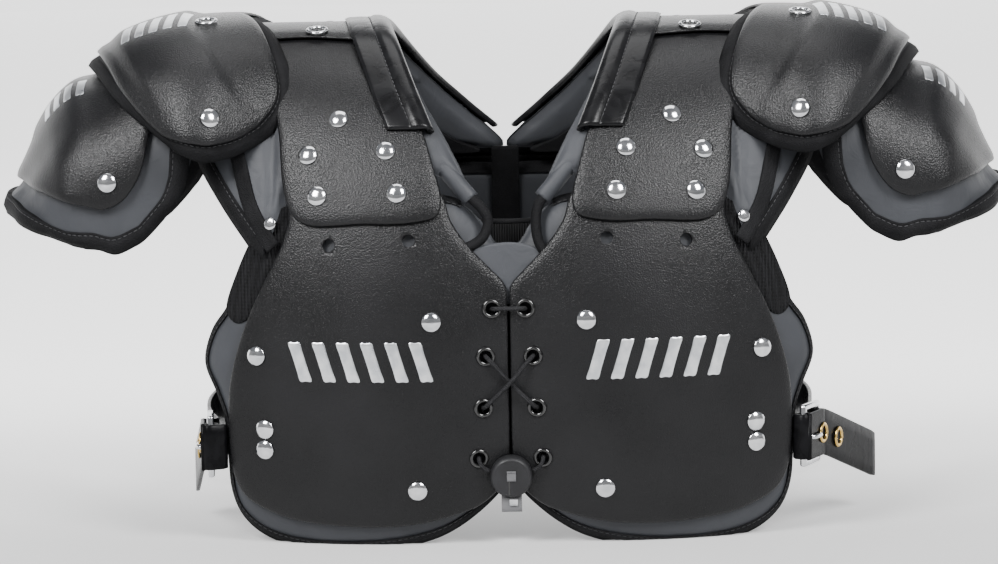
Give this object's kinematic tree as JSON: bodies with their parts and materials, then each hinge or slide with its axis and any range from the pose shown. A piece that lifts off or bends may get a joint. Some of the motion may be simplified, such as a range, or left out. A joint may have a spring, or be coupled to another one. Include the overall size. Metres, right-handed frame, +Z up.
{
  "type": "football shoulder pad",
  "caption": "Youth football shoulder pad: laced body plates over padding, layered arch plates, curved shoulder flaps with padded liners, and side belts.",
  "frame": {"origin": "on the floor under the middle of the bounding box", "axes": "+Z up, the chest faces -Y, X runs across the shoulders"},
  "size_m": [0.5462, 0.2375, 0.2783],
  "materials": {
    "plate": "fine leather grain, soft sheen",
    "padding": "coated grey nylon over foam, black bindings",
    "vinyl": "shiny black vinyl",
    "elastic": "black woven webbing and cord",
    "chrome": "polished",
    "lacquer": "black lacquer",
    "lock": "moulded dark grey",
    "lock_tab": "moulded light grey"
  },
  "bodies": {
    "root": {"chest_plate_right": "plate", "back_plate_right": "plate", "front_arch_right": "plate", "rear_arch_right": "plate", "epaulette_right": "plate", "shoulder_cup_right": "plate", "chest_pad_right": "padding", "back_pad_right": "padding", "shoulder_pad_right": "padding", "epaulette_pad_right": "padding", "cup_pad_right": "padding", "neck_trim_right": "vinyl", "belt_right": "vinyl", "belt_tab_right": "vinyl", "buckle_right": "chrome", "buckle_prong_right": "chrome", "epaulette_rivet_right": "chrome", "cup_rivet_right": "chrome", "arch_rivet_1_right": "chrome", "arch_rivet_2_right": "chrome", "arch_rivet_3_right": "chrome", "arch_rivet_4_right": "chrome", "arch_rivet_5_right": "chrome", "lace_eyelet_1_right": "lacquer", "lace_eyelet_2_right": "lacquer", "lace_eyelet_3_right": "lacquer", "lace_eyelet_4_right": "lacquer", "chest_plate_left": "plate", "back_plate_left": "plate", "front_arch_left": "plate", "rear_arch_left": "plate", "epaulette_left": "plate", "shoulder_cup_left": "plate", "chest_pad_left": "padding", "back_pad_left": "padding", "shoulder_pad_left": "padding", "epaulette_pad_left": "padding", "cup_pad_left": "padding", "neck_trim_left": "vinyl", "belt_left": "vinyl", "belt_tab_left": "vinyl", "buckle_left": "chrome", "buckle_prong_left": "chrome", "epaulette_rivet_left": "chrome", "cup_rivet_left": "chrome", "arch_rivet_1_left": "chrome", "arch_rivet_2_left": "chrome", "arch_rivet_3_left": "chrome", "arch_rivet_4_left": "chrome", "arch_rivet_5_left": "chrome", "lace_eyelet_1_left": "lacquer", "lace_eyelet_2_left": "lacquer", "lace_eyelet_3_left": "lacquer", "lace_eyelet_4_left": "lacquer", "neck_web": "elastic", "back_web": "elastic", "lace": "elastic", "lace_lock": "lock", "lace_lock_tab": "lock_tab"}
  },
  "joints": []
}
